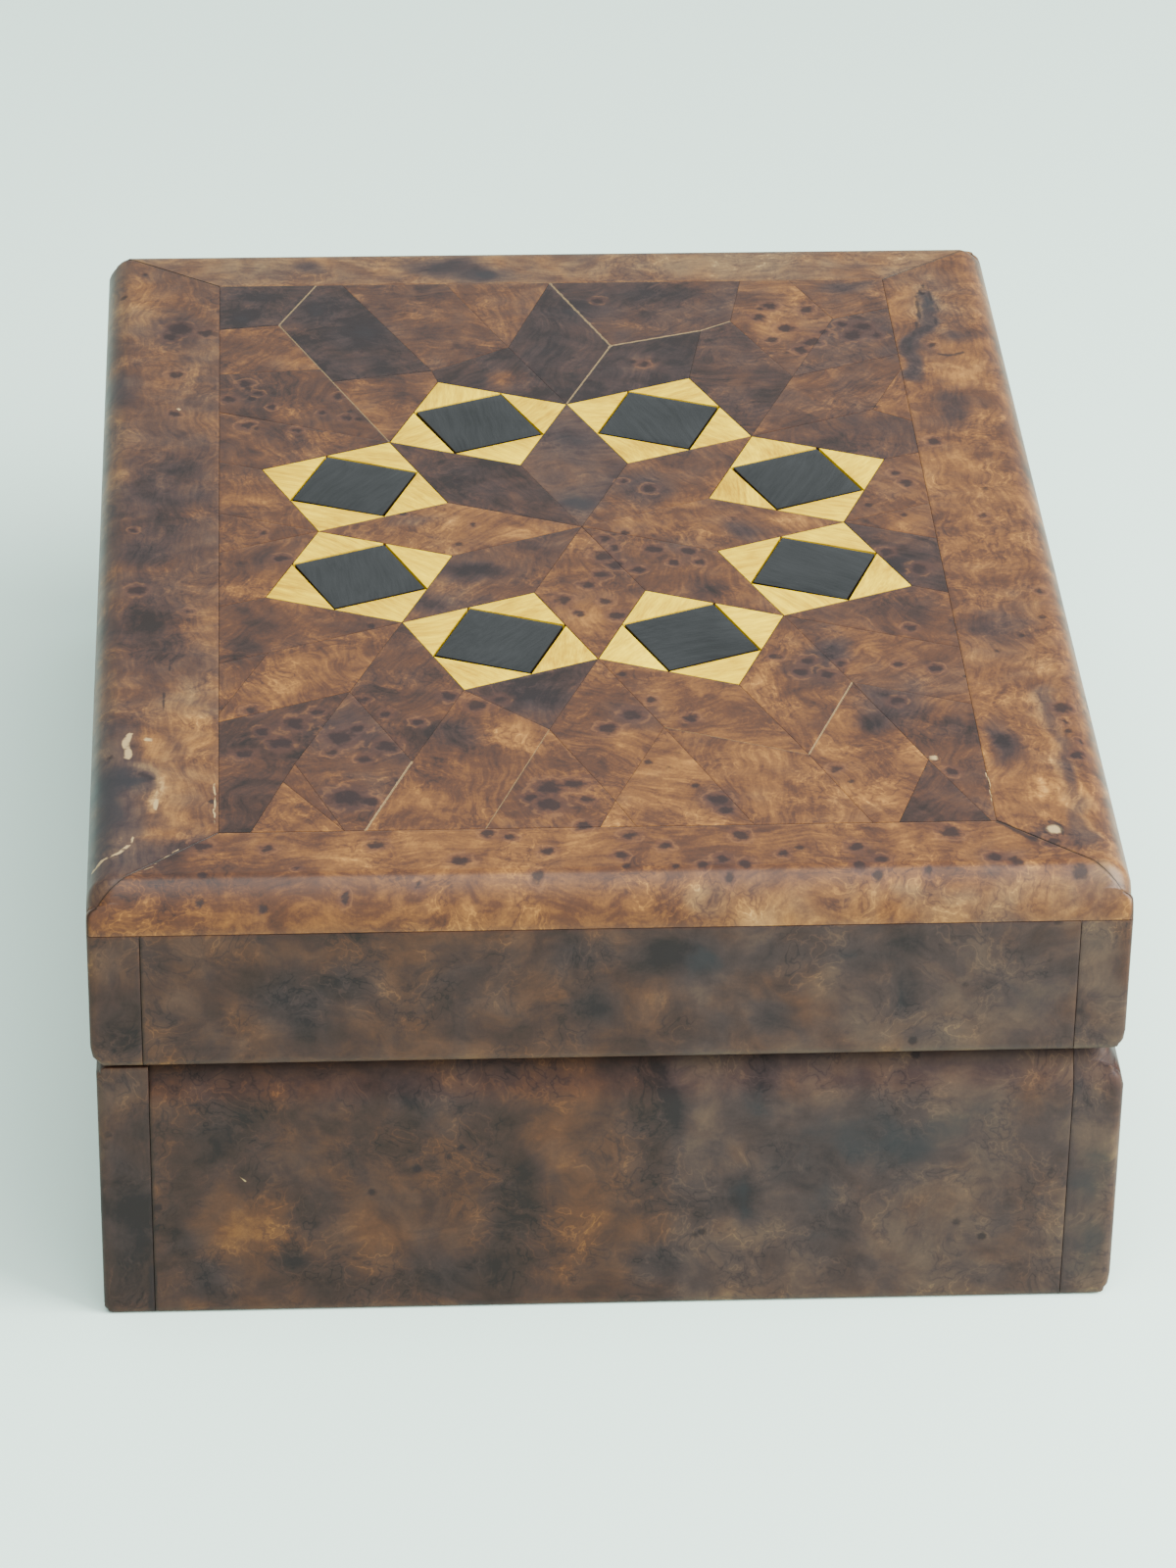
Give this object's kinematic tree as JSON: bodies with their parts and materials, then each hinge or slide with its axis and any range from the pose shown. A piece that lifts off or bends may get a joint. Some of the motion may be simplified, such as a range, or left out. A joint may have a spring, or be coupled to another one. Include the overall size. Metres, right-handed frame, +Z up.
{
  "type": "inlaid wooden box",
  "caption": "Small rectangular burl wood box with a hinged lid; the lid's top carries a marquetry ring of light and dark squares round a star, inside mitred rails.",
  "frame": {"origin": "under the middle of the box, on the surface it stands on", "axes": "+Z up, +Y along the box's long side, +X towards the side that opens; the hinges are at -X"},
  "size_m": [0.11, 0.15, 0.0542],
  "materials": {
    "dark_burl": "satin lacquered dark burl with grey-brown patches",
    "rail_burl": "satin lacquered orange-brown burl with dark eyes",
    "sapwood_burl": "satin lacquered tan burl with pale sapwood and dark patches",
    "field_burl": "satin lacquered burl veneer, each piece with its own figure",
    "kite_burl": "satin lacquered burl veneer in contrasting tones",
    "lemonwood": "satin lacquered yellow lemonwood",
    "ebony": "satin grey-black ebony",
    "plain_wood": "plain unlacquered wood",
    "brass": "dull brass"
  },
  "bodies": {
    "base": {"base_hinge_side": "dark_burl", "base_opening_side": "dark_burl", "base_near_end": "dark_burl", "base_far_end": "dark_burl", "bottom_panel": "plain_wood", "hinge_near_base_leaf": "brass", "hinge_near_pin": "brass", "hinge_far_base_leaf": "brass", "hinge_far_pin": "brass", "screw_near_base_1": "brass", "screw_near_base_2": "brass", "screw_far_base_1": "brass", "screw_far_base_2": "brass"},
    "lid": {"lid_hinge_side": "dark_burl", "lid_opening_side": "dark_burl", "lid_near_end": "dark_burl", "lid_far_end": "dark_burl", "lid_core_panel": "plain_wood", "top_rail_near": "rail_burl", "top_rail_opening_side": "rail_burl", "top_rail_far": "rail_burl", "top_rail_hinge_side": "sapwood_burl", "hinge_near_lid_leaf": "brass", "hinge_far_lid_leaf": "brass", "screw_near_lid_1": "brass", "screw_near_lid_2": "brass", "screw_far_lid_1": "brass", "screw_far_lid_2": "brass", "star_lemonwood_1": "lemonwood", "star_lemonwood_2": "lemonwood", "star_lemonwood_3": "lemonwood", "star_lemonwood_4": "lemonwood", "star_lemonwood_5": "lemonwood", "star_lemonwood_6": "lemonwood", "star_lemonwood_7": "lemonwood", "star_lemonwood_8": "lemonwood", "star_ebony_1": "ebony", "star_ebony_2": "ebony", "star_ebony_3": "ebony", "star_ebony_4": "ebony", "star_ebony_5": "ebony", "star_ebony_6": "ebony", "star_ebony_7": "ebony", "star_ebony_8": "ebony", "star_kite_1": "kite_burl", "star_kite_2": "kite_burl", "star_kite_3": "kite_burl", "star_kite_4": "kite_burl", "star_kite_5": "kite_burl", "star_kite_6": "kite_burl", "star_kite_7": "kite_burl", "star_kite_8": "kite_burl", "field_burl_1": "field_burl", "field_burl_2": "field_burl", "field_burl_3": "field_burl", "field_burl_4": "field_burl", "field_burl_5": "field_burl", "field_burl_6": "field_burl", "field_burl_7": "field_burl", "field_burl_8": "field_burl"}
  },
  "joints": [
    {"name": "lid_hinge", "type": "hinge", "parent": "base", "child": "lid", "pos_m": [-0.054, 0, 0.0323], "axis": [0, -1, 0], "range_deg": [0, 100]}
  ]
}
